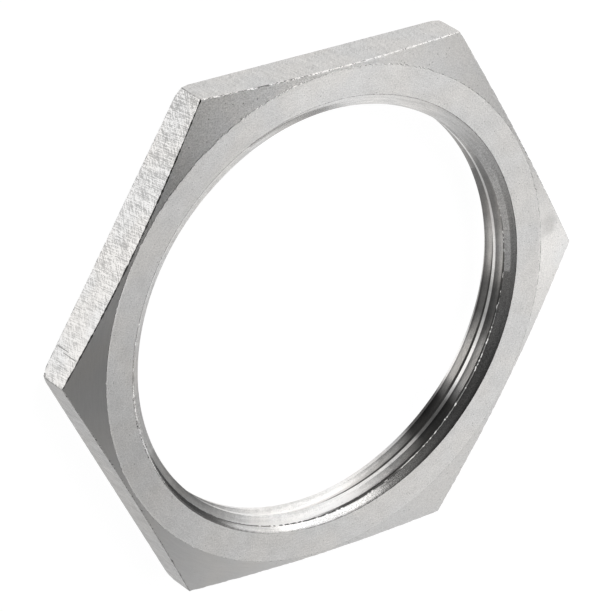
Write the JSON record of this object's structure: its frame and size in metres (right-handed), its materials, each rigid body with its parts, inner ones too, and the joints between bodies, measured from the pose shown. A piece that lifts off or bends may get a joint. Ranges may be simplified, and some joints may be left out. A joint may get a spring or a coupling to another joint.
{
  "type": "pipe hex locknut",
  "caption": "Thin hexagon locknut for pipe, with a wide threaded bore, a countersink at each face, a shallow chamfer round the front face and a plain back face.",
  "frame": {"origin": "centre of the plain back face, on the thread axis, at the height of the surface that the nut lies on", "axes": "+Z along the thread axis, out of the chamfered front face; +X through a corner of the hexagon; +Y through the middle of a flat"},
  "size_m": [0.0796, 0.069, 0.0058],
  "materials": {
    "steel": "bare stainless steel, machined matt faces with faint turning marks and fine scratches on the flats"
  },
  "bodies": {
    "root": {"locknut": "steel"}
  },
  "joints": []
}
